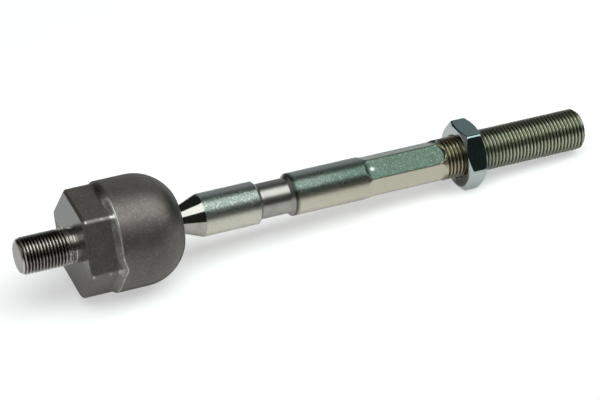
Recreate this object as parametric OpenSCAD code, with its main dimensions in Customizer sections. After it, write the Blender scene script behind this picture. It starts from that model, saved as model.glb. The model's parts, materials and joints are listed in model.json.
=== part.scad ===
// Inner tie rod of a rack and pinion steering gear, in millimetres.
//
// The rod lies along X. The rack end is at -X and the outer tie rod end at +X.
// The origin is on the axis, in the flat face that seats on the end of the rack.
// Threads are drawn as plain cylinders at their major diameter. On the outer thread one
// groove of the real form is cut, next to the nut, where the free length for the outer
// tie rod end begins.

/* [Socket housing] */
// Width across the six wrench flats
wrench_af = 36; // [33:0.5:36]
// Turn of the wrench flats about the axis
wrench_turn = 7; // [0:1:59]
// Length of the wrench flats from the rack face to the step
wrench_l = 10; // [6:0.5:14]
// Diameter of the round body
body_d = 41.8; // [41.6:0.2:46]
// Angle of the step from the flats to the body
step_angle = 48; // [30:1:70]
// Distance from the rack face to the start of the dome
dome_x = 24.8; // [23.4:0.2:28]
// Radius of the rolled dome
dome_r = 16.9; // [15:0.1:18]
// Wall around the ball seat
socket_wall = 4.4; // [3.5:0.1:5]
// Diameter of the mouth that the neck comes out of
mouth_d = 24; // [23:0.5:26]
// Bevel on the inner edge of the lip at the mouth
lip_bevel = 0.4; // [0.3:0.1:1]
// Flat on the end of the lip
lip_flat = 0.6; // [0.4:0.1:1.6]
// Solid floor between the rack face and the socket
floor_t = 9.5; // [7:0.5:10]
// Chamfer of the hexagon's edge at the rack face
face_chamfer = 0.9; // [0.3:0.1:1.5]
// How much the hexagon's corners are rounded off
wrench_rounding = 0.4; // [0.2:0.1:1]

/* [Rack stud] */
// Major diameter of the rack thread
stud_d = 14; // [10:1:16]
// Length of the stud from the rack face
stud_l = 21; // [16:1:30]
// Length of the thread relief next to the rack face
relief_l = 1.9; // [1.5:0.1:5]
// Depth of the thread relief below the major diameter
relief_depth = 0.9; // [0.5:0.1:1.4]
// Chamfer at the tip of the stud
stud_chamfer = 1.4; // [0.5:0.1:2]

/* [Ball joint] */
// Diameter of the ball
ball_d = 26; // [24:0.5:27]
// Distance from the rack face to the centre of the ball
ball_x = 26; // [25.4:0.2:27]
// Running clearance around the ball and around the seat
run_gap = 0.05; // [0.02:0.01:0.08]
// Number of slots that let the seat open over the ball
seat_slots = 4; // [3:1:8]
// Width of a seat slot
slot_w = 1.6; // [1:0.1:2.5]
// Length of a seat slot from the seat's front
slot_l = 13.6; // [8:0.2:16]
// Diameter of the seat's opening in front of the ball
seat_open_d = 21.4; // [20:0.2:22]
// How far the front of the seat stands past the end of the socket's curve
seat_nose = 1.3; // [0.5:0.1:2.5]
// Opening at the back of the seat
seat_hole_d = 11; // [8:0.5:13]
// Thickness of the dished spring behind the seat
spring_t = 1.2; // [0.8:0.1:1.5]
// Dish of the spring
spring_dish = 0.8; // [0.4:0.1:1]
// Hole in the spring
spring_hole_d = 13; // [10:1:16]
// Play between the spring's rim and the socket's bore
spring_play = 1; // [0.5:0.1:2]

/* [Rod] */
// Diameter of the neck behind the ball
neck_d = 10; // [8:0.5:11]
// Diameter of the shank
shank_d = 16.3; // [15.5:0.1:18]
// Distance from the rack face to the shank's shoulder
shank_x = 49.7; // [47:0.1:54]
// Angle of the cone between neck and shank
cone_angle = 21.4; // [18:0.2:24]
// Length of the first land, from the shoulder to the boot groove
land_l = 22; // [16:0.5:30]
// Diameter at the bottom of the boot groove
groove_d = 13.5; // [12:0.1:15]
// Width of the boot groove at its bottom
groove_w = 11.4; // [8:0.2:16]
// Distance from the rack face to where the wrench flats on the rod have their full depth
rod_flat_x = 119.4; // [110:0.2:125]
// Length of those flats at full depth
rod_flat_l = 29; // [22:0.2:34]
// Width across those flats
rod_af = 14; // [13:0.5:15]
// Turn of those flats about the axis
rod_turn = 37.4; // [0:0.2:59]
// Radius of the cutter's run-out at the inner end of a flat
runout_r = 7.5; // [4:0.5:10]
// Radius in plan of the outer end of a flat
tongue_r = 4.5; // [4.3:0.1:6]

/* [Outer thread] */
// Major diameter of the outer thread
thread_d = 16; // [14:0.5:16]
// Length of the outer thread
thread_l = 63.2; // [50:0.2:80]
// Pitch of the outer thread
thread_pitch = 1.5; // [1:0.25:2]
// Depth of the outer thread
thread_depth = 0.9; // [0.5:0.1:1.1]
// Chamfer at the outer end
thread_chamfer = 1.4; // [0.5:0.1:2]

/* [Jam nut] */
// Width across the nut's flats
nut_af = 24; // [21:0.5:27]
// Height of the nut
nut_h = 8; // [6:0.5:13]
// Distance from the start of the thread to the nut
nut_x = 10; // [1:0.2:40]
// Diameter of the flat ring on the nut's faces
nut_face_d = 23.2; // [20:0.2:24]
// Angle of the chamfer on the nut's corners
nut_chamfer_angle = 30; // [20:1:35]
// Depth of the countersink at both ends of the nut's thread
nut_csk = 0.6; // [0.3:0.1:1]
// Running clearance between nut and rod
nut_gap = 0.05; // [0.02:0.01:0.08]

/* [Hidden] */
$fn = 96;
eps = 0.01;
// How far a shape that cuts or joins runs past what it meets
past = 1;

body_r = body_d / 2;
bore_r = body_r - socket_wall;
mouth_r = mouth_d / 2;
ball_r = ball_d / 2;
dome_axis_r = body_r - dome_r;
inner_dome_r = dome_r - socket_wall;
lip_outer_r = mouth_r + lip_bevel + lip_flat;
mouth_x = dome_x + sqrt(pow(dome_r, 2) - pow(lip_outer_r - dome_axis_r, 2));
curve_end_x = dome_x + sqrt(pow(inner_dome_r, 2) - pow(mouth_r - dome_axis_r, 2));
step_l = (body_r - wrench_af / 2) / tan(step_angle);
stud_r = stud_d / 2;
relief_r = stud_r - relief_depth;

seat_back_x = floor_t + spring_t + spring_dish + run_gap;
seat_front_x = curve_end_x + seat_nose;

neck_r = neck_d / 2;
shank_r = shank_d / 2;
groove_r = groove_d / 2;
groove_slope = shank_r - groove_r;
cone_l = (shank_r - neck_r) / tan(cone_angle);
groove_x = shank_x + land_l;
second_land_x = groove_x + groove_w + 2 * groove_slope;
thread_r = thread_d / 2;
rod_flat_end = rod_flat_x + rod_flat_l;
tongue_sag = tongue_r - sqrt(pow(tongue_r, 2) - pow(rod_af / 2 * tan(30), 2));
thread_x = rod_flat_end - tongue_sag;
thread_end = thread_x + thread_l;
thread_groove_w = thread_pitch * 7 / 8;
thread_flank_w = thread_depth * tan(30);
nut_r = thread_r + nut_gap;
nut_corner_r = nut_af / sqrt(3);
nut_chamfer = (nut_corner_r + past - nut_face_d / 2) * tan(nut_chamfer_angle);

// Turns a profile drawn as (radius, distance along the rod) about the X axis.
module turned() {
    rotate([0, 90, 0]) rotate_extrude() children();
}

// A hexagonal bar along X from x0 to x1, with one corner at the given turn from +Y. With a
// flare its flats lean outwards at 45 degrees.
module hex_bar(af, x0, x1, turn, flare = false) {
    end_af = flare ? af + 2 * (x1 - x0) : af;
    translate([x0, 0, 0])
        rotate([turn, 0, 0])
            rotate([0, 90, 0]) rotate([0, 0, 90])
                cylinder(h = x1 - x0, r1 = af / sqrt(3), r2 = end_af / sqrt(3), $fn = 6);
}

// The part of a ring-shaped arc that lies past its centre: (radius, x) profile of a dome.
module dome_profile(arc_r) {
    intersection() {
        translate([dome_axis_r, dome_x]) circle(arc_r);
        translate([dome_axis_r, dome_x]) square(2 * arc_r);
    }
}

// Round body with its coned shoulder and its dome, cut off flat at the lip, as a solid profile.
module body_profile() {
    polygon([
        [0, wrench_l / 2],
        [wrench_af / 2 - eps, wrench_l / 2],
        [wrench_af / 2 - eps, wrench_l],
        [body_r, wrench_l + step_l],
        [body_r, dome_x],
        [0, dome_x]
    ]);
    intersection() {
        union() {
            dome_profile(dome_r);
            translate([0, dome_x - eps]) square([dome_axis_r + eps, dome_r + eps]);
        }
        translate([0, dome_x - eps]) square([body_r, mouth_x - dome_x + eps]);
    }
}

// The socket from x0 to x1: bore, inner curve that follows the dome, and mouth, less a gap.
module socket_profile(gap, x0, x1) {
    translate([0, x0]) square([bore_r - gap, dome_x - x0 + eps]);
    dome_inside(gap);
    translate([0, dome_x]) square([mouth_r - gap, x1 - dome_x]);
}

module dome_inside(gap) {
    difference() {
        dome_profile(inner_dome_r - gap);
        translate([0, curve_end_x]) square([body_r, body_r]);
    }
    translate([0, dome_x - eps]) square([dome_axis_r + past, curve_end_x - dome_x + eps]);
}

module stud_profile() {
    polygon([
        [0, -stud_l],
        [stud_r - stud_chamfer, -stud_l],
        [stud_r, -stud_l + stud_chamfer],
        [stud_r, -relief_l],
        [relief_r, -relief_l + relief_depth],
        [relief_r, past],
        [0, past]
    ]);
}

// Forging with the rack stud, the wrench hexagon and the dome rolled over the seat.
module socket_housing() {
    color("#55534f")
    difference() {
        union() {
            intersection() {
                hex_bar(wrench_af, 0, wrench_l + step_l, wrench_turn);
                hex_bar(wrench_af - 2 * face_chamfer, 0, dome_x, wrench_turn, flare = true);
                turned() square([wrench_af / sqrt(3) - wrench_rounding, dome_x]);
            }
            turned() body_profile();
            turned() stud_profile();
        }
        turned() socket_profile(0, floor_t, mouth_x + past);
        turned() translate([mouth_r, mouth_x]) polygon([
            [-past, -lip_bevel],
            [0, -lip_bevel],
            [lip_bevel, 0],
            [lip_bevel, past],
            [-past, past]
        ]);
    }
}

// One-piece plastic bearing shell, slotted at its front so that it snaps over the ball.
module ball_seat() {
    color("ivory")
    difference() {
        turned() difference() {
            socket_profile(run_gap, seat_back_x, seat_front_x);
            translate([0, ball_x]) circle(ball_r + run_gap);
            translate([0, seat_back_x - past]) square([seat_hole_d / 2, ball_x - seat_back_x]);
            translate([0, ball_x]) square([seat_open_d / 2, seat_front_x - ball_x + past]);
        }
        for (i = [0:seat_slots - 1])
            rotate([i * 360 / seat_slots + 45, 0, 0])
                translate([seat_front_x - slot_l, 0, -slot_w / 2])
                    cube([slot_l + past, body_r, slot_w]);
    }
}

// Dished spring washer that presses the seat against the ball.
module preload_spring() {
    color("dimgray")
    turned() polygon([
        [bore_r - spring_play, floor_t],
        [bore_r - spring_play, floor_t + spring_t],
        [spring_hole_d / 2, floor_t + spring_t + spring_dish],
        [spring_hole_d / 2, floor_t + spring_dish]
    ]);
}

// One wrench flat: it leaves the shank in a scoop and ends at the thread in a round tongue.
module flat_cutter() {
    depth = shank_r - rod_af / 2;
    intersection() {
        translate([0, shank_r, rod_af / 2]) rotate([90, 0, 0]) linear_extrude(shank_d)
            union() {
                translate([rod_flat_x, 0]) square([rod_flat_l, 2 * depth]);
                translate([rod_flat_x, runout_r]) circle(runout_r);
            }
        linear_extrude(shank_r + depth) union() {
            translate([rod_flat_x - runout_r, -shank_r])
                square([runout_r + rod_flat_l - tongue_r, shank_d]);
            translate([rod_flat_end - tongue_r, 0]) circle(tongue_r);
        }
    }
}

// The first groove of the outer thread past the nut.
module thread_groove() {
    translate([thread_x + nut_x + nut_h, 0, 0])
        turned() polygon([
            [thread_r + eps, 0],
            [thread_r - thread_depth, thread_flank_w],
            [thread_r - thread_depth, thread_groove_w - thread_flank_w],
            [thread_r + eps, thread_groove_w]
        ]);
}

// Ball, neck, cone, shank with the boot groove, wrench flats and outer thread in one piece.
module tie_rod() {
    color("#94aa9d")
    difference() {
        union() {
            translate([ball_x, 0, 0]) sphere(ball_r);
            turned() polygon([
                [0, ball_x],
                [neck_r, ball_x],
                [neck_r, shank_x - cone_l],
                [shank_r, shank_x],
                [shank_r, groove_x],
                [groove_r, groove_x + groove_slope],
                [groove_r, groove_x + groove_slope + groove_w],
                [shank_r, second_land_x],
                [shank_r, thread_x - (shank_r - thread_r)],
                [thread_r, thread_x],
                [thread_r, thread_end - thread_chamfer],
                [thread_r - thread_chamfer, thread_end],
                [0, thread_end]
            ]);
        }
        for (i = [0:5])
            rotate([rod_turn + 60 * i - 60, 0, 0]) flat_cutter();
        thread_groove();
    }
}

// Thin hexagonal nut, chamfered on both faces and countersunk at both ends of its thread.
module jam_nut() {
    color("#b5b8b8")
    translate([thread_x + nut_x, 0, 0])
    difference() {
        intersection() {
            hex_bar(nut_af, 0, nut_h, 0);
            turned() polygon([
                [0, 0],
                [nut_face_d / 2, 0],
                [nut_corner_r + past, nut_chamfer],
                [nut_corner_r + past, nut_h - nut_chamfer],
                [nut_face_d / 2, nut_h],
                [0, nut_h]
            ]);
        }
        turned() polygon([
            [0, -eps],
            [nut_r + nut_csk + eps, -eps],
            [nut_r, nut_csk],
            [nut_r, nut_h - nut_csk],
            [nut_r + nut_csk + eps, nut_h + eps],
            [0, nut_h + eps]
        ]);
    }
}

socket_housing();
ball_seat();
preload_spring();
tie_rod();
jam_nut();
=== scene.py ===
# %% [markdown]
# This scene dresses an inner tie rod of a rack and pinion steering gear. On the real car
# its short stud screws into the steering rack, its round socket holds a ball, and the
# long rod that starts at the ball carries a jam nut and the outer tie rod end. The packed
# model gives the frame: every piece here is built in metres at the place that it gives.

import json
import math

import bpy
import numpy as np
from mathutils import Matrix, Vector


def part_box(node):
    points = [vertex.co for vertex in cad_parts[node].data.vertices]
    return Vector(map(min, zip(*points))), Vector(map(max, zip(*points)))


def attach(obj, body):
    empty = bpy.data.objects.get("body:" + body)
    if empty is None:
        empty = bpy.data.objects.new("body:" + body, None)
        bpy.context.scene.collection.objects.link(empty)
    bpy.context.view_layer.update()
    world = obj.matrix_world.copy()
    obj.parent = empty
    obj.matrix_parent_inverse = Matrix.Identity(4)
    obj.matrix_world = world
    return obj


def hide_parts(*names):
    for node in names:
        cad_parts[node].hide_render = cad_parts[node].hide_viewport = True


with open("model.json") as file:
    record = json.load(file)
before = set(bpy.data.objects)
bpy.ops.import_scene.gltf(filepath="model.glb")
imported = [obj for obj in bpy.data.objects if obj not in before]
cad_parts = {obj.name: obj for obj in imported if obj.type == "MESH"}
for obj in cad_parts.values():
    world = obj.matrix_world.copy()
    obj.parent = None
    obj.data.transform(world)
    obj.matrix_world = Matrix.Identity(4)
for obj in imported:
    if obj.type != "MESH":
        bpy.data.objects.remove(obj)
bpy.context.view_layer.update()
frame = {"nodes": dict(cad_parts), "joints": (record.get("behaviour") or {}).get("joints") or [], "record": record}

# %% [markdown]
# The camera stands where the photographer stood. Its place was worked out from the
# outlines, the corners of the hexagons and the spacing of the threads, so the scene can
# be laid over the photograph. A long lens at a metre gives nearly parallel sides. It is
# made first, because all that follows is judged through it.

# %% Camera
MM = 0.001
PHOTO_WIDTH_PX = 600
FOCAL_PX = 2780.5
AZIMUTH = math.radians(-24.74)
ELEVATION = math.radians(32.07)
ROLL = math.radians(0.69)
AIM = Vector((90.84, 0.0, -3.55)) * MM
DISTANCE = 1042.9 * MM


def photo_camera():
    """Back is the unit vector from the aim to the camera; right and up are turned by the roll."""
    back = Vector((
        math.sin(AZIMUTH) * math.cos(ELEVATION),
        -math.cos(AZIMUTH) * math.cos(ELEVATION),
        math.sin(ELEVATION),
    ))
    level_right = Vector((math.cos(AZIMUTH), math.sin(AZIMUTH), 0.0))
    level_up = back.cross(level_right)
    right = level_right * math.cos(ROLL) + level_up * math.sin(ROLL)
    up = level_up * math.cos(ROLL) - level_right * math.sin(ROLL)
    lens = bpy.data.cameras.new("photo_camera")
    lens.sensor_width = 36.0
    lens.lens = FOCAL_PX / PHOTO_WIDTH_PX * lens.sensor_width
    lens.clip_start = 0.05
    lens.clip_end = 50.0
    camera = bpy.data.objects.new("photo_camera", lens)
    turn = Matrix((right, up, back)).transposed().to_4x4()
    camera.matrix_world = Matrix.Translation(AIM + back * DISTANCE) @ turn
    bpy.context.scene.collection.objects.link(camera)
    bpy.context.scene.camera = camera
    return camera


camera = photo_camera()
print("camera at", [round(c, 3) for c in camera.location], "lens", round(camera.data.lens, 1))

# %% [markdown]
# All metal pieces here are turned or rolled, so each is one surface around the X axis:
# its radius is a function of the distance along the piece and of the angle around it.
# A cylinder with cuts made by booleans would do too, but its facets would show in the
# reflections. As a function, a thread, a hexagon and a dome flow into each other without
# a seam. The helpers below turn such a grid of radii into a closed mesh.

# %% Mesh helpers


def around(count):
    """Angles in radians of the columns of a grid, counted from +Y towards +Z."""
    return np.arange(count) * 2 * math.pi / count


def ring_points(x, radius, columns):
    """Points at distance x and the given radius: (x, radius cos angle, radius sin angle)."""
    angle = around(columns)[None, :]
    x = np.broadcast_to(np.asarray(x, float), (len(x), columns))
    radius = np.broadcast_to(np.asarray(radius, float), x.shape)
    return np.stack([x, radius * np.cos(angle), radius * np.sin(angle)], axis=-1)


def quads_between_rows(first, rows, columns):
    """Faces of a grid whose columns close into rings; the order makes them face outwards."""
    row = first + np.arange(rows - 1)[:, None] * columns
    here = np.arange(columns)[None, :]
    after = (here + 1) % columns
    corners = [row + here, row + after, row + columns + after, row + columns + here]
    return np.stack(corners, axis=-1).reshape(-1, 4)


def fan_to_pole(pole, first, columns, at_end):
    """Triangles from one point on the axis to the ring that starts at vertex first."""
    here = first + np.arange(columns)
    after = first + (np.arange(columns) + 1) % columns
    pair = (here, after) if at_end else (after, here)
    return np.stack([np.full(columns, pole), *pair], axis=-1)


def stitch(coarse, coarse_count, fine, fine_count, coarse_first):
    """Triangles between two rings where the fine one has a whole multiple of columns.

    Each coarse point fans out to its own stretch of the fine ring, and one more triangle
    closes the middle of every stretch."""
    times = fine_count // coarse_count
    half = times // 2
    j = np.arange(coarse_count)
    here = coarse + j
    after = coarse + (j + 1) % coarse_count
    faces = [np.stack([here, after, fine + (times * j + half) % fine_count], axis=-1)]
    for i in range(times):
        near = fine + (times * j + i) % fine_count
        far = fine + (times * j + i + 1) % fine_count
        tip = here if i < half else after
        faces.append(np.stack([tip, far, near], axis=-1))
    faces = np.concatenate(faces)
    return faces if coarse_first else faces[:, ::-1]


def metal_piece(name, points, faces, materials, face_material=None, sharp_deg=32):
    """A mesh object at the origin from points in mm and lists of triangles and quads."""
    corners = np.concatenate([f.ravel() for f in faces]).astype(np.int32)
    sizes = np.concatenate([np.full(len(f), f.shape[1], np.int32) for f in faces])
    mesh = bpy.data.meshes.new(name)
    mesh.vertices.add(len(points))
    mesh.vertices.foreach_set("co", (points * MM).astype(np.float32).ravel())
    mesh.loops.add(len(corners))
    mesh.loops.foreach_set("vertex_index", corners)
    mesh.polygons.add(len(sizes))
    mesh.polygons.foreach_set("loop_start", np.concatenate([[0], np.cumsum(sizes)[:-1]]))
    mesh.update(calc_edges=True)
    mesh.validate()
    mesh.polygons.foreach_set("use_smooth", np.ones(len(sizes), bool))
    for material in materials:
        mesh.materials.append(material)
    if face_material is not None:
        mesh.polygons.foreach_set("material_index", face_material.astype(np.int32))
    mesh.set_sharp_from_angle(angle=math.radians(sharp_deg))
    piece = bpy.data.objects.new(name, mesh)
    bpy.context.scene.collection.objects.link(piece)
    triangles = int((sizes - 2).sum())
    print(name, len(points), "points,", triangles, "triangles")
    return piece


def mark(piece, name, values):
    """Store one number for each point of the mesh, for the materials to read."""
    attribute = piece.data.attributes.new(name, "FLOAT", "POINT")
    attribute.data.foreach_set("value", np.asarray(values, np.float32).ravel())


def soft_min(a, b, blend):
    """The smaller of two lengths, with the corner between them rounded over about blend."""
    near = np.clip(blend - np.abs(a - b), 0, None) / blend
    return np.minimum(a, b) - near**2 * blend / 4


def soft_max(a, b, blend):
    """The larger of two lengths, with the corner between them rounded over about blend."""
    return -soft_min(-a, -b, blend)


def hexagon(angle, across, turn_deg, rounding):
    """Radius of a hexagon: half its width over the cosine of the angle from the nearest
    flat's middle, blended with the next flat so that the corner is rounded."""
    from_middle = (angle - math.radians(turn_deg)) % math.radians(60) - math.radians(30)
    own = across / 2 / np.cos(from_middle)
    beside = across / 2 / np.cos(math.radians(60) - np.abs(from_middle))
    return soft_min(own, beside, rounding)


def thread_groove(x, angle, pitch, depth):
    """Depth of a right-hand thread below its crests. Going once around moves the form
    along by one pitch; across the pitch are a flat crest, two flanks and a round root."""
    across = (x / pitch - angle / (2 * math.pi)) % 1.0
    from_crest = np.abs(across - 0.5)
    from_crest = 0.5 - from_crest
    slope = np.clip((from_crest - CREST_SHARE / 2) / (0.5 - CREST_SHARE), 0, 1)
    return depth * (0.55 * slope + 0.45 * (0.5 - 0.5 * np.cos(math.pi * slope)))


CREST_SHARE = 0.125

# %% [markdown]
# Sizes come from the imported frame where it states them: the boxes of the nodes, the ball
# centre in the joint, and the threads in the mounts. The others are the lengths that were
# read from the photograph, in millimetres along the rod from the face at the rack.

# %% Sizes in millimetres
box = {name: [[c / MM for c in corner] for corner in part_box(name)] for name in frame["nodes"]}
mounts = {m["name"]: m for m in frame["record"]["mounts"]}
joints = {j["name"]: j for j in frame["joints"]}

STUD_END, MOUTH_X = box["socket_housing"][0][0], box["socket_housing"][1][0]
BODY_R = box["socket_housing"][1][2]
STUD_R = mounts["rack_thread"]["dims"]["r_mm"]
THREAD_R = mounts["outer_thread"]["dims"]["r_mm"]
BALL_X = joints["rod_spin"]["pos_m"][0] / MM
BALL_R = BALL_X - box["tie_rod"][0][0]
ROD_END = box["tie_rod"][1][0]
NUT_X0, NUT_X1 = box["jam_nut"][0][0], box["jam_nut"][1][0]
NUT_AF = 2 * box["jam_nut"][1][2]

STUD_PITCH, STUD_DEPTH = 1.25, 0.77
STUD_CHAMFER, RELIEF_L, RELIEF_R = 1.4, 1.9, 6.1
RELIEF_FILLET = 0.4
WRENCH_AF, WRENCH_TURN, WRENCH_L = 36.0, 7.0, 10.0
CORNER_BLEND, FACE_CHAMFER = 1.5, 0.9
STEP_DEG, STEP_FOOT, STEP_CREST = 48, 0.5, 0.3
DOME_X, DOME_R = 24.8, 16.9
WALL = 4.4
MOUTH_R, LIP_BEVEL, LIP_FLAT = 12.0, 0.4, 0.6
SOCKET_FLOOR = 9.5

NECK_R, SHANK_R, SHANK_X, CONE_DEG = 5.0, 8.15, 49.7, 21.4
LAND_L, BOOT_GROOVE_R, BOOT_GROOVE_L = 22.0, 6.75, 11.4
FLAT_X, FLAT_L, ROD_AF, ROD_TURN = 119.4, 29.0, 14.0, 37.4
RUNOUT_R, TONGUE_R, TONGUE_RISE = 7.5, 4.5, 1.3
ROD_PITCH, ROD_DEPTH, ROD_CHAMFER = 1.5, 0.92, 1.4
THREAD_X, THREAD_FADE_IN = 145.88, 3.5

NUT_FACE_R, NUT_CHAMFER_DEG, NUT_CSK, NUT_ROUND = 11.6, 30, 0.6, 0.8
NUT_CLEARANCE = 0.05
print("stud", STUD_END, "mouth", MOUTH_X, "ball", BALL_X, BALL_R, "rod end", ROD_END)

# %% [markdown]
# The finishes are built from nodes. One helper adds a node, one turns a colour that was
# read as a hex value into the linear numbers that the renderer works with.

# %% Material helpers


def linear(hex_colour):
    """The sRGB hex colour as linear RGBA: the standard curve with its straight foot."""
    parts = [int(hex_colour[i:i + 2], 16) / 255 for i in (1, 3, 5)]
    lit = [p / 12.92 if p <= 0.04045 else ((p + 0.055) / 1.055) ** 2.4 for p in parts]
    return (*lit, 1.0)


def add(tree, kind, sockets=None, **settings):
    """Add a node, set its properties, and give each socket a value or a link."""
    made = tree.nodes.new(kind)
    for name, value in settings.items():
        setattr(made, name, value)
    for name, value in (sockets or {}).items():
        if isinstance(value, bpy.types.NodeSocket):
            tree.links.new(value, made.inputs[name])
        else:
            made.inputs[name].default_value = value
    return made


def new_finish(name):
    """An empty material with its Principled shader and its Object coordinates."""
    material = bpy.data.materials.new(name)
    material.use_nodes = True
    tree = material.node_tree
    shader = tree.nodes["Principled BSDF"]
    place = add(tree, "ShaderNodeTexCoord").outputs["Object"]
    return material, tree, shader, place


def blend(tree, share, first, second):
    """The colour that goes from first to second as share goes from 0 to 1."""
    made = add(tree, "ShaderNodeMix", {0: share, 6: first, 7: second}, data_type="RGBA")
    return made.outputs[2]


def rescale(tree, value, low, high, start=0.0, end=1.0):
    """Start where the value is at low, end where it is at high, straight between."""
    made = add(tree, "ShaderNodeMapRange", {
        "Value": value, "From Min": low, "From Max": high, "To Min": start, "To Max": end})
    return made.outputs[0]


def noise(tree, place, size_mm, detail=3.0, roughness=0.5):
    """Cloudy noise from 0 to 1 whose features are about size_mm across."""
    made = add(tree, "ShaderNodeTexNoise", {
        "Vector": place, "Scale": 1 / (size_mm * MM), "Detail": detail, "Roughness": roughness})
    return made.outputs["Fac"]


def stored(tree, name):
    """A number that the mesh carries at each of its points."""
    return add(tree, "ShaderNodeAttribute", attribute_name=name).outputs["Fac"]


def product(tree, first, second):
    """The two values multiplied."""
    return add(tree, "ShaderNodeMath", {0: first, 1: second}, operation="MULTIPLY").outputs[0]


def relief(tree, shader, height, strength, distance_mm):
    """Let the height tilt the surface, as fine roughness that a mesh can't carry."""
    bump = add(tree, "ShaderNodeBump", {
        "Height": height, "Strength": strength, "Distance": distance_mm * MM})
    tree.links.new(bump.outputs[0], shader.inputs["Normal"])


def wear(tree, shader, **sockets):
    """Link or set several sockets of the shader by name, spaces written as underscores."""
    for name, value in sockets.items():
        socket = shader.inputs[name.replace("_", " ")]
        if isinstance(value, bpy.types.NodeSocket):
            tree.links.new(value, socket)
        else:
            socket.default_value = value


COARSE_MM = 4.0
MOTTLE_MM = 1.1
GRIT_MM = 0.45

# %% [markdown]
# The socket is forged, shot-blasted and phosphated: a dark grey crystalline coat, oiled,
# that looks soft and a little green-grey, with paler specks. Where the wrench or other
# parts have rubbed an edge, the coat is gone and the steel shines. The mesh carries a
# number, edge_wear, that says how exposed each point is, and noise breaks it up.

# %% Finish: phosphated forging


def phosphated_forging():
    """Dark phosphate over forged steel, mottled, with the coat worn off exposed edges. The
    rack face is machined after forging, so it is paler and smoother; towards its lower part
    that fades out, which is painted shade. Where the mesh says dark_line the coat is darker:
    a band on the face's chamfer, and painted shade at the top of the step, on the dome and
    along the lower side. Seen at a low angle the crystals shade each other, so gloss falls
    towards the rim."""
    material, tree, shader, place = new_finish("phosphated_forged_steel")
    clouds = noise(tree, place, COARSE_MM, 4.0, 0.6)
    mottle = noise(tree, place, MOTTLE_MM, 3.0, 0.7)
    grit = noise(tree, place, GRIT_MM, 2.0)
    coat = blend(tree, clouds, linear("#645b58"), linear("#7c7471"))
    coat = blend(tree, rescale(tree, mottle, 0.54, 0.7, 0.0, 0.5), coat, linear("#8f8e87"))
    coat = blend(tree, rescale(tree, grit, 0.58, 0.7, 0.0, 0.5), coat, linear("#a3a29a"))
    # The machined face is paler; on its lower part this fades out, as painted shade.
    coat = blend(tree, stored(tree, "machined_with_low_shade"), coat, linear("#7c7b79"))
    # Painted shade, and a dark band on the face's chamfer, where the mesh says dark_line.
    coat = blend(tree, stored(tree, "dark_line"), coat, linear("#232725"))
    worn = stored(tree, "edge_wear")
    coat = blend(tree, rescale(tree, worn, 0.05, 0.9, 0.0, 0.75), coat, linear("#9b9893"))
    bare = rescale(tree, product(tree, worn, mottle), 0.26, 0.5)
    low_angle = add(tree, "ShaderNodeLayerWeight", {"Blend": 0.5}).outputs["Facing"]
    rim = rescale(tree, low_angle, 0.7, 0.95)
    polished = add(tree, "ShaderNodeMath", {
        0: product(tree, bare, 0.6), 1: stored(tree, "machined_with_low_shade")}, operation="MAXIMUM")
    rough = rescale(tree, polished.outputs[0], 0.0, 1.0, 0.42, 0.24)
    wear(tree, shader, Base_Color=blend(tree, bare, coat, linear("#d2cfc9")), Roughness=rough,
         Metallic=rescale(tree, rim, 0.0, 1.0, 0.68, 1.0),
         Specular_Tint=blend(tree, rim, (1.0, 1.0, 1.0, 1.0), linear("#707571")))
    height = add(tree, "ShaderNodeMath", {0: mottle, 1: grit}, operation="ADD").outputs[0]
    smooth = rescale(tree, stored(tree, "machined_with_low_shade"), 0.0, 1.0, 1.0, 0.1)
    relief(tree, shader, product(tree, height, smooth), 0.45, 0.06)
    return material


# %% [markdown]
# Stud, neck, ball and boot groove are bare steel, turned or ground on a lathe. The tool
# leaves fine rings around the axis, which a wave along X draws. Real rings are under a
# tenth of a millimetre apart, too fine to show, so these are drawn a little coarser.

# %% Finish: bare turned steel
RING_MM = 0.35


def turned_steel(name, colour, roughness, ring_depth_mm, stain):
    """Bare steel with lathe rings; stain is how strongly oil and heat tint it in patches."""
    material, tree, shader, place = new_finish(name)
    rings = add(tree, "ShaderNodeTexWave", {
        "Vector": place, "Scale": 1 / (RING_MM * MM) / 20, "Distortion": 0.4,
        "Detail": 1.0}, wave_type="BANDS", bands_direction="X").outputs["Fac"]
    patches = noise(tree, place, COARSE_MM)
    grain = noise(tree, place, GRIT_MM, 2.0)
    stained = rescale(tree, patches, 0.45, 0.75, 0.0, stain)
    base = blend(tree, stained, linear(colour), linear("#5b4a42"))
    # The thread's roots are drawn darker.
    root_darkening = rescale(tree, stored(tree, "thread_root"), 0.3, 0.85, 0.0, 0.93)
    base = blend(tree, root_darkening, base, linear("#1f1917"))
    # dark_line: painted shade on the stud, dark lines at the shoulders of the groove.
    base = blend(tree, stored(tree, "dark_line"), base, linear("#2c2825"))
    wear(tree, shader, Metallic=1.0, Base_Color=base,
         Roughness=rescale(tree, grain, 0.0, 1.0, roughness * 0.8, roughness * 1.2))
    relief(tree, shader, rings, 0.25, ring_depth_mm)
    return material


# %% [markdown]
# The rod is zinc plated and passivated. Its colour is painted by the way the surface
# faces: a green sheen is painted on the upper front side, which faces the overhead light,
# the upper back side is grey, and the lower side has a straw tint that is a painted
# reflection of the sheet; the film also grows thicker towards the flats. The zinc crystals
# under it sparkle. On the thread the film is brassy with a little painted green sheen, and
# its roots are drawn dark.

# %% Finish: passivated zinc
CRYSTAL_MM = 0.6
SPECK_MM = 0.8


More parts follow.
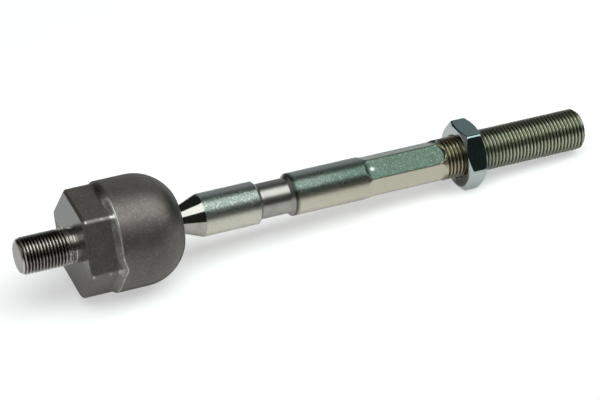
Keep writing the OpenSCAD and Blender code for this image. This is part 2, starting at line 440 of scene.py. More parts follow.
def passivated_zinc():
    """Zinc with a passive film. The mesh says where a green sheen is painted and how thick
    the film is there, which side is below for the painted straw tint, where a glint is
    painted, what is thread, how deep the roots are, and where painted shade and dark edges lie."""
    material, tree, shader, place = new_finish("passivated_zinc_plate")
    patches = noise(tree, place, COARSE_MM, 4.0, 0.65)
    specks = noise(tree, place, GRIT_MM, 2.0)
    crystals = add(tree, "ShaderNodeTexVoronoi", {
        "Vector": place, "Scale": 1 / (CRYSTAL_MM * MM)})
    green = blend(tree, stored(tree, "film_depth_and_painted_tint"), linear("#a5aba6"), linear("#4c5c52"))
    deep = rescale(tree, patches, 0.3, 0.75, 0.0, 0.35)
    green = blend(tree, deep, green, linear("#63786b"))
    # Painted green sheen where the surface faces the overhead light; grey on the upper back side; on the lower
    # side a straw tint, a painted reflection of the sheet.
    straw = blend(tree, stored(tree, "film_depth_and_painted_tint"), linear("#cfcbc2"), linear("#c1baa9"))
    pale = blend(tree, stored(tree, "under_side"), linear("#c2c5c3"), straw)
    film = blend(tree, stored(tree, "painted_green_sheen"), pale, green)
    thin = rescale(tree, stored(tree, "film_depth_and_painted_tint"), 0.3, 1.0, 1.0, 0.25)
    bright = product(tree, rescale(tree, specks, 0.55, 0.68, 0.0, 0.8), thin)
    film = blend(tree, bright, film, linear("#dfe6e0"))
    # Dark specks break up the painted green sheen.
    dull = rescale(tree, noise(tree, place, SPECK_MM, 3.0, 0.6), 0.52, 0.66, 0.0, 0.32)
    dull = product(tree, dull, stored(tree, "painted_green_sheen"))
    film = blend(tree, dull, film, linear("#36423a"))
    # Painted glint in the flats' scoop.
    film = blend(tree, stored(tree, "rubbed_and_painted_glint"), film, linear("#f2f6f2"))
    brass = blend(tree, stored(tree, "brown_thread"), linear("#bfc0ac"), linear("#bdb39b"))
    # A little painted green sheen on the thread where it faces the overhead light.
    thread_green_sheen = product(tree, stored(tree, "painted_green_sheen"), 0.1)
    brass = blend(tree, thread_green_sheen, brass, linear("#7f9a78"))
    film = blend(tree, stored(tree, "threaded"), film, brass)
    # The thread's roots are drawn darker.
    root_darkening = rescale(tree, stored(tree, "thread_root"), 0.3, 0.9, 0.0, 0.85)
    film = blend(tree, root_darkening, film, linear("#3a3c30"))
    # dark_line: dark lines at ridges and shoulders, the thread's painted shade and its darker end.
    film = blend(tree, stored(tree, "dark_line"), film, linear("#2c332c"))
    height = add(tree, "ShaderNodeMath", {
        0: crystals.outputs["Distance"], 1: patches}, operation="ADD")
    wear(tree, shader, Metallic=1.0, Base_Color=film,
         Roughness=rescale(tree, crystals.outputs["Color"], 0.0, 1.0, 0.26, 0.42))
    relief(tree, shader, height.outputs[0], 0.35, 0.03)
    return material


# %% [markdown]
# The jam nut has a clear zinc plate: cold, bluish silver and glossier than the rod.

# %% Finish: clear zinc


def clear_zinc():
    """Bright zinc with faint clouds and a very fine grain. The upper flats carry a painted
    teal tint, the lower front part of the face towards the rod painted shade, and the
    thread's roots are darker.
    """
    material, tree, shader, place = new_finish("clear_zinc_plate")
    clouds = noise(tree, place, COARSE_MM, 4.0)
    base = blend(tree, clouds, linear("#aab1b0"), linear("#bdc2c2"))
    # Painted teal tint on the nut's three upper flats.
    base = blend(tree, stored(tree, "film_depth_and_painted_tint"), base, linear("#8fa3a3"))
    # Painted shade on the lower front part of the nut's face.
    base = blend(tree, stored(tree, "dark_line"), base, linear("#4a4c43"))
    # The thread's roots are drawn darker.
    root_darkening = rescale(tree, stored(tree, "thread_root"), 0.2, 0.8, 0.0, 0.85)
    base = blend(tree, root_darkening, base, linear("#33352a"))
    wear(tree, shader, Metallic=1.0, Base_Color=base,
         Roughness=rescale(tree, clouds, 0.0, 1.0, 0.1, 0.22))
    relief(tree, shader, clouds, 0.1, 0.03)
    return material


# %% [markdown]
# Inside the socket sit a moulded acetal shell, ivory and a little waxy, and a dished
# washer of blued spring steel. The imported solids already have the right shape, so they
# stay and only get their finish.

# %% Finish: acetal and spring steel


def moulded_acetal():
    """Ivory acetal: soft sheen, faint flow clouds and the fine grain of the mould."""
    material, tree, shader, place = new_finish("moulded_acetal")
    clouds = noise(tree, place, COARSE_MM, 2.0)
    wear(tree, shader, Roughness=0.42, IOR=1.48,
         Base_Color=blend(tree, clouds, linear("#ddd6c2"), linear("#e8e3d2")))
    relief(tree, shader, noise(tree, place, GRIT_MM, 2.0), 0.2, 0.02)
    return material


def blued_spring_steel():
    """Spring steel tempered to a dark blue-brown, with rolling marks across it."""
    material, tree, shader, place = new_finish("blued_spring_steel")
    clouds = noise(tree, place, COARSE_MM)
    rolled = add(tree, "ShaderNodeTexWave", {
        "Vector": place, "Scale": 1 / (RING_MM * MM) / 20, "Distortion": 1.0},
        wave_type="BANDS", bands_direction="Y").outputs["Fac"]
    wear(tree, shader, Metallic=1.0, Roughness=0.34,
         Base_Color=blend(tree, clouds, linear("#3b4252"), linear("#5e5348")))
    relief(tree, shader, rolled, 0.2, 0.01)
    return material


FORGING = phosphated_forging()
STUD_STEEL = turned_steel("turned_stud_steel", "#cdc6c0", 0.27, 0.02, 0.3)
GROUND_STEEL = turned_steel("ground_neck_steel", "#b0aaa5", 0.1, 0.004, 0.2)
GROOVE_STEEL = turned_steel("turned_groove_steel", "#a8a4a0", 0.31, 0.02, 0.25)
ROD_ZINC = passivated_zinc()
NUT_ZINC = clear_zinc()
ACETAL = moulded_acetal()
SPRING = blued_spring_steel()
print("finishes:", [m.name for m in bpy.data.materials])

# %% [markdown]
# The socket housing is one forging from the tip of the stud to the rolled lip. Its outline
# runs along the outside and then back in through the mouth to the floor of the socket.
# The hexagon runs out into the round body in a coned step: the radius is the larger of
# hexagon and cone, and never more than the body.

# %% Piece: socket housing
STUD_COLUMNS = 108
BODY_COLUMNS = 324
STUD_ROWS_PER_PITCH = 12


def stud_rows():
    """Rows of the stud: tip, thread and relief. The thread's radius is the major radius
    less the groove, held under the cone of the tip's chamfer and over the relief."""
    relief_start = STUD_R - RELIEF_R - RELIEF_L
    step = STUD_PITCH / STUD_ROWS_PER_PITCH
    tip_r = STUD_R - STUD_CHAMFER
    x_tip = np.full(4, STUD_END)
    r_tip = np.linspace(tip_r * 0.3, tip_r - 0.15, 4)
    x = np.arange(STUD_END + 0.08, relief_start, step)
    angle = around(STUD_COLUMNS)[None, :]
    groove = thread_groove(x[:, None], angle, STUD_PITCH, STUD_DEPTH)
    radius = STUD_R - groove
    cone = tip_r + (x[:, None] - STUD_END) * 1.0
    radius = soft_min(radius, cone, 0.12)
    runout = RELIEF_R + np.clip(relief_start - x[:, None], 0, None)
    radius = soft_min(radius, runout, 0.1)
    turn = np.linspace(0, math.pi / 2, 6)[1:]
    x_relief = np.concatenate([
        np.linspace(x[-1] + step, -RELIEF_FILLET, 5), RELIEF_FILLET * (np.sin(turn) - 1)])
    r_relief = np.concatenate([
        np.full(5, RELIEF_R), RELIEF_R + RELIEF_FILLET * (1 - np.cos(turn))])
    x_all = np.concatenate([x_tip, x, x_relief])
    r_all = np.concatenate([
        np.repeat(r_tip[:, None], STUD_COLUMNS, 1),
        radius,
        np.repeat(r_relief[:, None], STUD_COLUMNS, 1)])
    root = np.zeros_like(r_all)
    root[4:4 + len(x)] = groove / STUD_DEPTH * (1 - 0.7 * ramp(x[:, None], -4.2, -3.0))
    return x_all, r_all, root


def step_radius(x, angle):
    """Radius over the flats and the step: the hexagon, less a chamfer of 45 degrees at the
    rack face, then the coned step, limited by the body's radius."""
    edge = np.clip(FACE_CHAMFER - x, 0, None)
    hexa = hexagon(angle, WRENCH_AF - 2 * edge, WRENCH_TURN, CORNER_BLEND)
    cone = WRENCH_AF / 2 + (x - WRENCH_L) * math.tan(math.radians(STEP_DEG))
    return soft_min(soft_max(hexa, cone, STEP_FOOT), BODY_R, STEP_CREST)


def housing_rows():
    """Rows of the forging from the rack face around the dome's lip to the socket floor."""
    angle = around(BODY_COLUMNS)[None, :]
    rows_x, rows_r = [], []

    def keep(x, radius):
        x = np.asarray(x, float)[:, None]
        radius = np.asarray(radius, float)
        if radius.ndim == 1:
            radius = radius[:, None]
        shape = (len(x), BODY_COLUMNS)
        rows_x.append(np.broadcast_to(x, shape))
        rows_r.append(np.broadcast_to(radius, shape))

    outline = step_radius(np.array([[0.0]]), angle)
    inner = RELIEF_R + RELIEF_FILLET
    share = np.append(np.linspace(0.08, 0.96, 8), 0.99)[:, None]
    keep(np.zeros(9), inner + (outline - inner) * share)
    x = np.concatenate([
        [0.05, 0.2, 0.45, 0.7, 0.85, 0.95, 1.1], np.linspace(1.4, WRENCH_L - 1, 14),
        np.arange(WRENCH_L - 0.8, 14.2, 0.15)])
    keep(x, step_radius(x[:, None], angle))
    keep(np.linspace(14.6, DOME_X, 10), np.full(10, BODY_R))
    axis_r = BODY_R - DOME_R
    lip_r = MOUTH_R + LIP_BEVEL + LIP_FLAT
    last = math.acos((lip_r - axis_r) / DOME_R)
    turn = np.linspace(0, last, 44)[1:]
    keep(DOME_X + DOME_R * np.sin(turn), axis_r + DOME_R * np.cos(turn))
    keep(np.full(2, MOUTH_X), [lip_r - 0.15, MOUTH_R + LIP_BEVEL])
    keep([MOUTH_X - LIP_BEVEL, MOUTH_X - 1.5, MOUTH_X - 3], [MOUTH_R] * 3)
    inside_r = DOME_R - WALL
    first = math.acos((MOUTH_R - axis_r) / inside_r)
    turn = np.linspace(first, 0, 14)
    keep(DOME_X + inside_r * np.sin(turn), axis_r + inside_r * np.cos(turn))
    bore_r = BODY_R - WALL
    keep(np.linspace(DOME_X - 2, SOCKET_FLOOR, 6), np.full(6, bore_r))
    keep(np.full(4, SOCKET_FLOOR), np.linspace(bore_r * 0.8, bore_r * 0.2, 4))
    return np.concatenate(rows_x), np.concatenate(rows_r)


def bell(distance, width):
    """A smooth bump that is 1 at distance 0 and fades within about the width."""
    return np.exp(-((distance / width) ** 2))


def ramp(value, low, high):
    """0 below low, 1 above high and a smooth rise between them."""
    share = np.clip((value - low) / (high - low), 0, 1)
    return share * share * (3 - 2 * share)


def forging_marks(x, radius, degrees):
    """How worn, how dark and how smoothly machined the forging is at each point. The dark
    is a band on the face's chamfer and painted shade elsewhere; the machined face fades out
    towards its lower part, which is painted shade too.
    """
    crest_x = WRENCH_L + (BODY_R - WRENCH_AF / 2) / math.tan(math.radians(STEP_DEG))
    low_ridge = WRENCH_TURN + 180
    line_x = crest_x - 0.15 + 1.5 * bell(degrees - low_ridge, 9)
    touched = ramp(degrees, 100, 112) * (1 - 0.75 * ramp(degrees, 146, 158))
    line = bell(x - line_x, 0.27) * np.clip(1.6 * touched + 0.1, 0, 1.6)
    facet = ramp(x, WRENCH_L - 0.2, WRENCH_L + 0.6) * (x < line_x) * (radius > WRENCH_AF / 2 + 0.3)
    patch = bell(degrees - 106, 6) + 0.6 * bell(degrees - 136, 8) + 0.5 * bell(degrees - 190, 5)
    facet = facet * ramp(degrees, 92, 100) * (0.46 + 0.3 * patch)
    corner = np.abs((degrees - WRENCH_TURN + 30) % 60 - 30) * math.pi / 180 * BODY_R
    ridge = bell(corner, 0.8) * (x < crest_x) * (x > FACE_CHAMFER) * 0.4
    ridge = ridge * (1 - 0.5 * ramp(degrees, 170, 180))
    tips = bell(corner, 0.8) * bell(x - 0.8, 0.6) * 0.9
    rubbed_and_painted_glint = bell(corner + 0.2, 0.7) * bell(x - 7.2, 0.5) * 0.8
    lip = bell(x - MOUTH_X, 0.5) * (radius > MOUTH_R) * 0.6
    dark = ramp(x, 0.0, 0.15) * (1 - ramp(x, FACE_CHAMFER, FACE_CHAMFER + 0.2)) * (corner > 1.2)
    shade = bell(degrees - 80, 14) * bell(x - WRENCH_L - 1.4, 1.3) * 0.7
    shade = shade + 0.85 * bell(degrees - 126, 24) * ramp(x, 31.0, 36.0)
    low_side = ramp(degrees, 145, 180) * (1 - ramp(degrees, 240, 270))
    shade = shade + low_side * (0.2 * ramp(x, 12, 18) + 0.2 * ramp(x, 33, 38))
    machined_with_low_shade = (x < 0.02) * (radius > RELIEF_R)
    return {
        "edge_wear": np.clip(line + facet + ridge + tips + rubbed_and_painted_glint + lip, 0, 1),
        "dark_line": np.clip(0.2 * dark + shade, 0, 1),
        # Painted shade: the machined face fades out towards its lower part.
        "machined_with_low_shade": machined_with_low_shade * (1 - 0.75 * ramp(degrees, 178, 196))}


def socket_forging():
    """One closed surface: the stud's rows and the body's rows, stitched at the rack face."""
    x_stud, r_stud, root = stud_rows()
    x_body, r_body = housing_rows()
    stud = ring_points(x_stud[:, None], r_stud, STUD_COLUMNS)
    angle = around(BODY_COLUMNS)[None, :]
    body = np.stack([x_body, r_body * np.cos(angle), r_body * np.sin(angle)], axis=-1)
    n_stud, n_body = len(stud), len(body)
    first_body = n_stud * STUD_COLUMNS
    poles = np.array([[STUD_END, 0, 0], [SOCKET_FLOOR, 0, 0]])
    points = np.concatenate([stud.reshape(-1, 3), body.reshape(-1, 3), poles])
    last_stud = (n_stud - 1) * STUD_COLUMNS
    last_body = first_body + (n_body - 1) * BODY_COLUMNS
    tip = fan_to_pole(len(points) - 2, 0, STUD_COLUMNS, False)
    floor = fan_to_pole(len(points) - 1, last_body, BODY_COLUMNS, True)
    seam = stitch(last_stud, STUD_COLUMNS, first_body, BODY_COLUMNS, True)
    quads_stud = quads_between_rows(0, n_stud, STUD_COLUMNS)
    quads_body = quads_between_rows(first_body, n_body, BODY_COLUMNS)
    row_of_face = np.repeat(np.arange(n_body - 1), BODY_COLUMNS)
    mouth_row = int(np.argmax(x_body[:, 0] >= MOUTH_X - 1e-6)) + 1
    inside = (row_of_face > mouth_row).astype(int) * 2
    face_material = np.concatenate([
        np.ones(len(tip)), np.ones(len(quads_stud)), np.zeros(len(seam)), inside,
        np.full(len(floor), 2)])
    piece = metal_piece(
        "socket_forging", points, [tip, quads_stud, seam, quads_body, floor],
        [FORGING, STUD_STEEL, GROOVE_STEEL], face_material)
    root = np.concatenate([root.ravel(), np.zeros(n_body * BODY_COLUMNS + 2)])
    mark(piece, "thread_root", root)
    degrees = np.degrees(around(STUD_COLUMNS))
    # Painted shade and painted dark reflections: the stud is darker on its upper back side and on its lower front
    # side. The tip face is drawn darker, and the last crests by the relief paler.
    stud_painted_shade = 0.8 * (1 - ramp(degrees, 98, 112)) + 0.35 * ramp(degrees, 150, 162)
    thread_rows = x_stud[:, None] > STUD_END + STUD_CHAMFER
    stud_painted_shade = np.where(thread_rows, stud_painted_shade, 0.45 * (x_stud[:, None] < STUD_END + 0.05))
    stud_painted_shade = stud_painted_shade * (1 - 0.85 * ramp(x_stud[:, None], -6.2, -4.6))
    on_stud = {"dark_line": stud_painted_shade.ravel()}
    for name, values in forging_marks(x_body, r_body, np.degrees(angle)).items():
        first = on_stud.get(name, np.zeros(first_body))
        mark(piece, name, np.concatenate([first, values.ravel(), [first[0], 0]]))
    return piece


socket = socket_forging()
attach(socket, "housing")
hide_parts("socket_housing")

# %% [markdown]
# Ball, neck, shank and outer thread are one rod. Its plain outline is a row of straight
# stretches; six flats are cut into it by a round cutter, which leaves a scoop at the inner
# end and a tongue at the thread. Where a flat lies lower than the shank, it wins.

# %% Piece: tie rod
ROD_COLUMNS = 216
THREAD_COLUMNS = 108
THREAD_ROWS_PER_PITCH = 9
NECK_START = BALL_X + math.sqrt(BALL_R**2 - NECK_R**2)
CONE_START = SHANK_X - (SHANK_R - NECK_R) / math.tan(math.radians(CONE_DEG))
GROOVE_START = SHANK_X + LAND_L
GROOVE_SLOPE = SHANK_R - BOOT_GROOVE_R
LAND_B = GROOVE_START + BOOT_GROOVE_L + 2 * GROOVE_SLOPE
TONGUE_END = FLAT_X + FLAT_L
SCOOP_X = FLAT_X - 4.2
BRIDGE_X = TONGUE_END + 1.2
RIDGE_BLEND = 0.15


def shank_outline(x):
    """Radius of the plain rod past the ball: straight stretches between its corners."""
    corners = np.array([
        [NECK_START, NECK_R],
        [CONE_START, NECK_R],
        [SHANK_X, SHANK_R],
        [GROOVE_START, SHANK_R],
        [GROOVE_START + GROOVE_SLOPE, BOOT_GROOVE_R],
        [LAND_B - GROOVE_SLOPE, BOOT_GROOVE_R],
        [LAND_B, SHANK_R],
        [THREAD_X - (SHANK_R - THREAD_R), SHANK_R],
        [THREAD_X, THREAD_R],
        [ROD_END - ROD_CHAMFER, THREAD_R],
        [ROD_END, THREAD_R - ROD_CHAMFER]])
    return np.interp(x, corners[:, 0], corners[:, 1])


def rod_radius(x, angle):
    """Shank or thread, cut by the flats. Returns the radius, the share of thread depth and
    how much the point belongs to a flat, from 0 to 1."""
    plain = shank_outline(x)
    fade = ramp(x, THREAD_X + THREAD_FADE_IN - 1.2, THREAD_X + THREAD_FADE_IN)
    end_taper = ramp(ROD_END - x, 0, ROD_CHAMFER)
    groove = thread_groove(x, angle, ROD_PITCH, ROD_DEPTH) * fade * end_taper
    off = (angle - math.radians(ROD_TURN)) % math.radians(60) - math.radians(30)
    across = ROD_AF / 2 * np.tan(off)
    tongue = TONGUE_END - TONGUE_R + np.sqrt(np.clip(TONGUE_R**2 - across**2, 0, None))
    scoop = np.clip(FLAT_X - x, 0, RUNOUT_R)
    height = ROD_AF / 2 + RUNOUT_R - np.sqrt(RUNOUT_R**2 - scoop**2)
    height = height + np.clip(x - tongue, 0, None) * TONGUE_RISE
    flat = soft_min(
        height / np.cos(off), height / np.cos(math.radians(60) - np.abs(off)), RIDGE_BLEND)
    body = plain - groove
    on_flat = ramp(body - flat, -0.05, 0.15)
    return soft_min(body, flat, 0.12), groove / ROD_DEPTH, on_flat


def rod_marks(x, degrees, on_flat, root):
    """What the finish needs at each point: the way the surface faces, as an angle around
    the rod, tells where a green sheen is painted and where the lower side's straw tint goes.
    A glint is painted in the scoop, the thread gets painted shade on its upper back side and
    its underside, its end is drawn darker, and ridges and shoulders carry dark lines."""
    off = (degrees - ROD_TURN) % 60 - 30
    flat_faces = degrees - off
    faces = on_flat * flat_faces + (1 - on_flat) * degrees
    # Painted green sheen where the surface or its flat faces the overhead light.
    green = np.minimum(ramp(faces, 88, 112), 1 - ramp(faces, 142, 162))
    green = np.maximum(green, 0.5 * on_flat * (1 - ramp(faces, 92, 97)))
    depth = np.interp(x, [LAND_B - 12, LAND_B + 4, LAND_B + 24], [0.42, 0.74, 0.95])
    threaded = ramp(x, THREAD_X - 1.6, THREAD_X) * (1 - on_flat)
    brown = threaded * (1 - ramp(x, NUT_X0, NUT_X1))
    ridge = bell((30 - np.abs(off)) * math.pi / 180 * SHANK_R, 0.3) * on_flat
    ridge = ridge * (x > FLAT_X - 2.5) * 0.7
    # Painted glint where the scoop of the flat facing up and front catches the overhead light.
    glint = bell(x - FLAT_X + 0.8, 0.75) * bell(faces - degrees - 1, 5) * on_flat
    glint = glint * bell(faces - 128, 10)
    # The last part of the thread, towards the end, is drawn darker.
    end_darkening = 0.6 * ramp(x, ROD_END - 1.8, ROD_END - 1.0)
    # Painted shade: the thread is darker on its upper back side and on its underside.
    thread_painted_shade = threaded * (0.4 * (1 - ramp(degrees, 94, 110)) + 0.5 * ramp(degrees, 192, 204))
    shoulders = bell(x - LAND_B - 0.1, 0.16) + 0.8 * bell(x - GROOVE_START - 0.15, 0.16)
    shape = np.broadcast_shapes(np.shape(x), np.shape(degrees))
    return {
        "painted_green_sheen": np.broadcast_to(green, shape),
        "rubbed_and_painted_glint": np.broadcast_to(glint, shape),
        "film_depth_and_painted_tint": np.broadcast_to(np.maximum(depth, on_flat), shape),
        "under_side": np.broadcast_to(ramp(faces, 105, 150), shape),
        "threaded": np.broadcast_to(threaded, shape),
        "brown_thread": np.broadcast_to(brown, shape),
        "thread_root": np.broadcast_to(root * (1 - on_flat), shape),
        "dark_line": np.broadcast_to(
            np.clip(ridge + shoulders + thread_painted_shade + end_darkening, 0, 1), shape)}


def rod_rows():
    """Places of the rows along the rod, close together where the surface turns quickly."""
    turn = np.linspace(math.pi, math.asin(NECK_R / BALL_R), 46)[1:]
    ball_x, ball_r = BALL_X + BALL_R * np.cos(turn), BALL_R * np.sin(turn)
    near = 0.12
    stops = [
        np.linspace(NECK_START + 0.5, CONE_START, 5),
        np.linspace(CONE_START, SHANK_X, 8)[1:],
        [SHANK_X + near],
        np.linspace(SHANK_X + 2, GROOVE_START - near, 6),
        np.linspace(GROOVE_START, GROOVE_START + GROOVE_SLOPE, 5),
        np.linspace(GROOVE_START + GROOVE_SLOPE + near, LAND_B - GROOVE_SLOPE - near, 6),
        np.linspace(LAND_B - GROOVE_SLOPE, LAND_B, 5),
        [LAND_B + near],
        np.linspace(LAND_B + 2, SCOOP_X - 0.4, 14),
        np.arange(SCOOP_X, FLAT_X + 0.4, 0.16),
        np.linspace(FLAT_X + 1, TONGUE_END - TONGUE_R - 0.6, 12),
        np.arange(TONGUE_END - TONGUE_R - 0.4, BRIDGE_X + 0.01, 0.12)]
    return ball_x, ball_r, np.concatenate(stops)


def tie_rod_shaft():
    """Ball rows, shank rows and, after a seam of two columns to one, the thread's rows."""
    ball_x, ball_r, x_shank = rod_rows()
    angle = around(ROD_COLUMNS)[None, :]
    r_shank, root_shank, on_flat = rod_radius(x_shank[:, None], angle)
    x_rows = np.concatenate([ball_x, x_shank])
    r_rows = np.concatenate([np.repeat(ball_r[:, None], ROD_COLUMNS, 1), r_shank])
    shank = ring_points(x_rows[:, None], r_rows, ROD_COLUMNS)
    step = ROD_PITCH / THREAD_ROWS_PER_PITCH
    x_thread = np.arange(x_shank[-1] + step, ROD_END - 0.02, step)
    coarse = around(THREAD_COLUMNS)[None, :]
    r_thread, root_thread, _ = rod_radius(x_thread[:, None], coarse)
    end_r = (THREAD_R - ROD_CHAMFER) * np.array([0.97, 0.7, 0.35])
    x_thread = np.concatenate([x_thread, np.full(3, ROD_END)])
    r_thread = np.concatenate([r_thread, np.repeat(end_r[:, None], THREAD_COLUMNS, 1)])
    root_thread = np.concatenate([root_thread, np.zeros((3, THREAD_COLUMNS))])
    thread = ring_points(x_thread[:, None], r_thread, THREAD_COLUMNS)
    n_shank, n_thread = len(shank), len(thread)
    first_thread = n_shank * ROD_COLUMNS
    poles = np.array([[BALL_X - BALL_R, 0, 0], [ROD_END, 0, 0]])
    points = np.concatenate([shank.reshape(-1, 3), thread.reshape(-1, 3), poles])
    back = fan_to_pole(len(points) - 2, 0, ROD_COLUMNS, False)
    front = fan_to_pole(
        len(points) - 1, first_thread + (n_thread - 1) * THREAD_COLUMNS, THREAD_COLUMNS, True)
    seam = stitch(
        first_thread, THREAD_COLUMNS, (n_shank - 1) * ROD_COLUMNS, ROD_COLUMNS, False)
    quads_shank = quads_between_rows(0, n_shank, ROD_COLUMNS)
    quads_thread = quads_between_rows(first_thread, n_thread, THREAD_COLUMNS)
    middle = np.repeat((x_rows[1:] + x_rows[:-1]) / 2, ROD_COLUMNS)
    ground = middle < SHANK_X
    turned = (middle > GROOVE_START) & (middle < LAND_B)
    shank_material = np.where(ground, 1, np.where(turned, 2, 0))
    face_material = np.concatenate([
        np.ones(len(back)), shank_material, np.zeros(len(seam) + len(quads_thread) + len(front))])
    piece = metal_piece(
        "tie_rod_shaft", points, [back, quads_shank, seam, quads_thread, front],
        [ROD_ZINC, GROUND_STEEL, GROOVE_STEEL], face_material)
    x_all = np.concatenate([ball_x, x_shank])[:, None]
    flat_all = np.concatenate([np.zeros((len(ball_x), ROD_COLUMNS)), on_flat])
    root_all = np.concatenate([np.zeros((len(ball_x), ROD_COLUMNS)), root_shank])
    shank_marks = rod_marks(x_all, np.degrees(angle), flat_all, root_all)
    thread_marks = rod_marks(x_thread[:, None], np.degrees(coarse), 0, root_thread)
    for name in shank_marks:
        mark(piece, name, np.concatenate([
            shank_marks[name].ravel(), thread_marks[name].ravel(), [0, 0]]))
    return piece


rod = tie_rod_shaft()
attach(rod, "rod")
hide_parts("tie_rod")

# %% [markdown]
# The jam nut is thin, with both faces chamfered, so that each flat ends in a curve. Its
# outline goes out over one face, across the flats, in over the other face and back
# through the threaded bore, which follows the rod's own thread at a small distance.

# %% Piece: jam nut
NUT_COLUMNS = 288


def nut_shape():
    """A closed ring of rows. The outer radius is the hexagon, held under two cones that
    start at the faces; the bore is the rod's thread plus the clearance."""
    angle = around(NUT_COLUMNS)[None, :]
    hexa = hexagon(angle, NUT_AF, 0, NUT_ROUND)
    slope = 1 / math.tan(math.radians(NUT_CHAMFER_DEG))
    corner_r = NUT_AF / math.sqrt(3)
    chamfer_l = (corner_r - NUT_FACE_R) / slope
    inside_r = THREAD_R + NUT_CLEARANCE
    up = np.linspace(0.02, 1, 6)[:, None]
    x_out = np.concatenate([
        np.linspace(NUT_X0, NUT_X0 + chamfer_l, 10)[1:],
        np.linspace(NUT_X0 + chamfer_l, NUT_X1 - chamfer_l, 8)[1:-1],
        np.linspace(NUT_X1 - chamfer_l, NUT_X1, 10)[:-1]])[:, None]
    cone = NUT_FACE_R + np.minimum(x_out - NUT_X0, NUT_X1 - x_out) * slope
    outer = soft_min(hexa, cone, 0.45)
    face_r = inside_r + NUT_CSK + (NUT_FACE_R - inside_r - NUT_CSK) * up
    x_bore = np.arange(NUT_X1 - 0.02, NUT_X0 + 0.01, -ROD_PITCH / 8)[:, None]
    thread = THREAD_R + NUT_CLEARANCE - thread_groove(x_bore, angle, ROD_PITCH, ROD_DEPTH)
    sunk = inside_r + NUT_CSK - np.minimum(x_bore - NUT_X0, NUT_X1 - x_bore) * 1.0
    bore = soft_max(thread, sunk, 0.1)
    wide = np.ones((1, NUT_COLUMNS))
    rows_x = [NUT_X0 * np.ones((6, 1)), x_out, NUT_X1 * np.ones((6, 1)), x_bore]
    rows_r = [face_r * wide, outer, face_r[::-1] * wide, bore]
    return np.concatenate([x * wide for x in rows_x]), np.concatenate(rows_r)


def hexagon_nut():
    """The nut's rows closed into a ring: the last row joins the first."""
    x, radius = nut_shape()
    angle = around(NUT_COLUMNS)[None, :]
    points = np.stack([x, radius * np.cos(angle), radius * np.sin(angle)], axis=-1)
    quads = quads_between_rows(0, len(points), NUT_COLUMNS)
    here = np.arange(NUT_COLUMNS)
    after = (here + 1) % NUT_COLUMNS
    last = (len(points) - 1) * NUT_COLUMNS
    closing = np.stack([last + here, last + after, after, here], axis=-1)
    piece = metal_piece("hexagon_jam_nut", points.reshape(-1, 3), [quads, closing], [NUT_ZINC])
    depth_below = THREAD_R + NUT_CLEARANCE - radius
    mark(piece, "thread_root", np.clip(depth_below / ROD_DEPTH, 0, 1) * (radius < THREAD_R))
    degrees = np.broadcast_to(np.degrees(angle), radius.shape)
    cone = NUT_FACE_R + np.minimum(x - NUT_X0, NUT_X1 - x) / math.tan(
        math.radians(NUT_CHAMFER_DEG))
    on_flats = (radius > NUT_FACE_R) * ramp(cone - radius, 0.0, 0.2)
    # Painted teal tint on the three upper flats; the lower flats have none.
    mark(piece, "film_depth_and_painted_tint", on_flats * (1 - ramp(degrees, 176, 184)))
    # Painted shade on the lower front part of the face that looks towards the rod.
    painted_face_shade = ramp(degrees, 172, 200) * (1 - ramp(degrees, 255, 280)) * (x < NUT_X0 + 0.2)
    mark(piece, "dark_line", 0.9 * painted_face_shade)
    return piece


nut = hexagon_nut()
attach(nut, "nut")
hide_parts("jam_nut")

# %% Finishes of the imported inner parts
for name, finish in (("ball_seat", ACETAL), ("preload_spring", SPRING)):
    part = frame["nodes"][name]
    part.data.materials.clear()
    part.data.materials.append(finish)
    print(name, "wears", finish.name)

# %% [markdown]
# Steel shows what is around it, so the light is set up as a photographer sets it for
# metal: one large soft light above and a little in front, a dim room, and a white sheet on
# the table. The bright band on each round part is that light, the dark band below it is
# the room over the sheet's front edge, and the pale lower half is the sheet.

# %% Floor, light and background
REST_TILT = math.radians(3.7)
SHEET_X = (-0.5, 0.7)
SHEET_Y = (-0.14, 0.6)
SHEET_THROUGH, MIRRORED_GLOW = 0.5, 0.27


def sheet_shares(tree):
    """How much the sheet glows in mirrors and glass, and how much it lets through: part of
    the white behind it to the camera, and the lamp's light to a rod that swings below it."""
    path = add(tree, "ShaderNodeLightPath").outputs
    mirrored = add(tree, "ShaderNodeMath", {
        0: path["Is Glossy Ray"], 1: path["Is Transmission Ray"]}, operation="ADD")
    through = add(tree, "ShaderNodeMath", {
        0: path["Is Camera Ray"], 1: SHEET_THROUGH, 2: path["Is Shadow Ray"]},
        operation="MULTIPLY_ADD")
    return product(tree, mirrored.outputs[0], MIRRORED_GLOW), through.outputs[0]


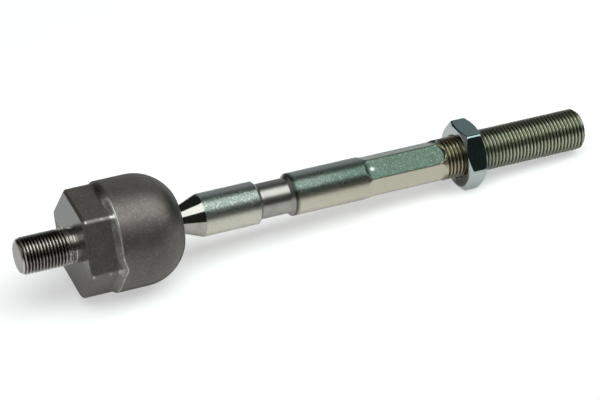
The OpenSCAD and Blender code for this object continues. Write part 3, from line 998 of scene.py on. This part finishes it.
def white_sheet():
    """A sheet that touches the socket's body and the nut. It glows a little to the camera
    and in reflections, so that it is white there and the parts' shadows stay."""
    touch_x = DOME_X + DOME_R * math.sin(REST_TILT)
    touch_z = -(BODY_R - DOME_R + DOME_R * math.cos(REST_TILT))
    along = np.array([SHEET_X[0], SHEET_X[1], SHEET_X[1], SHEET_X[0]])
    across = np.array([SHEET_Y[0], SHEET_Y[0], SHEET_Y[1], SHEET_Y[1]])
    height = touch_z * MM + (along - touch_x * MM) * math.tan(REST_TILT) - 0.02 * MM
    mesh = bpy.data.meshes.new("white_sheet")
    mesh.from_pydata(np.stack([along, across, height], axis=-1).tolist(), [], [(0, 1, 2, 3)])
    sheet = bpy.data.objects.new("white_sheet", mesh)
    bpy.context.scene.collection.objects.link(sheet)
    material = bpy.data.materials.new("white_paper")
    material.use_nodes = True
    tree = material.node_tree
    tree.nodes.clear()
    glow, through = sheet_shares(tree)
    paper = add(tree, "ShaderNodeBsdfDiffuse", {"Color": linear("#e6e6e6")})
    light = add(tree, "ShaderNodeEmission", {
        "Color": (1.0, 1.0, 1.0, 1.0), "Strength": glow})
    window = add(tree, "ShaderNodeBsdfTransparent", {"Color": through})
    both = add(tree, "ShaderNodeAddShader", {0: paper.outputs[0], 1: light.outputs[0]})
    whole = add(tree, "ShaderNodeAddShader", {0: both.outputs[0], 1: window.outputs[0]})
    add(tree, "ShaderNodeOutputMaterial", {"Surface": whole.outputs[0]})
    mesh.materials.append(material)
    return sheet


def soft_light(name, centre, aim, size_x, size_y, radiance, colour):
    """A rectangular lamp that gives the stated radiance: its watts are radiance x pi x area."""
    lamp = bpy.data.lights.new(name, "AREA")
    lamp.shape = "RECTANGLE"
    lamp.size = size_x
    lamp.size_y = size_y
    lamp.energy = radiance * math.pi * size_x * size_y
    lamp.color = linear(colour)[:3]
    holder = bpy.data.objects.new(name, lamp)
    holder.location = centre
    holder.rotation_euler = (Vector(aim) - Vector(centre)).to_track_quat("-Z", "Y").to_euler()
    holder.visible_camera = False
    bpy.context.scene.collection.objects.link(holder)
    return holder


ROOM_COLOUR = "#2b2d2b"
ROOM_PATCHES = [
    ("wall_behind", (0.477, 0.794, 0.371), 0.88, 0.98, "#9aa0a2"),
    ("window_left", (-0.86, 0.25, 0.38), 0.8, 0.97, "#8f8d89"),
]


def dim_room():
    """The world: a dark room with a few paler patches, and white to the camera itself.
    A patch is a direction, the cosines from it where it starts and is full, a colour."""
    world = bpy.data.worlds.new("dim_room")
    bpy.context.scene.world = world
    world.use_nodes = True
    tree = world.node_tree
    tree.nodes.clear()
    direction = add(tree, "ShaderNodeTexCoord").outputs["Generated"]
    colour = linear(ROOM_COLOUR)
    for _, towards, start, full, patch in ROOM_PATCHES:
        cosine = add(tree, "ShaderNodeVectorMath", {
            0: direction, 1: towards}, operation="DOT_PRODUCT").outputs["Value"]
        colour = blend(tree, rescale(tree, cosine, start, full), colour, linear(patch))
    camera_ray = add(tree, "ShaderNodeLightPath").outputs["Is Camera Ray"]
    colour = blend(tree, camera_ray, colour, (1.0, 1.0, 1.0, 1.0))
    background = add(tree, "ShaderNodeBackground", {"Color": colour})
    add(tree, "ShaderNodeOutputWorld", {"Surface": background.outputs[0]})


sheet = white_sheet()
soft_light("overhead_softbox", (0.47, -0.32, 1.0), (0.47, 0.0, 0.0), 2.85, 0.914, 2.2, "#f6fffc")
dim_room()
scene_view = bpy.context.scene.view_settings
scene_view.view_transform = "Standard"
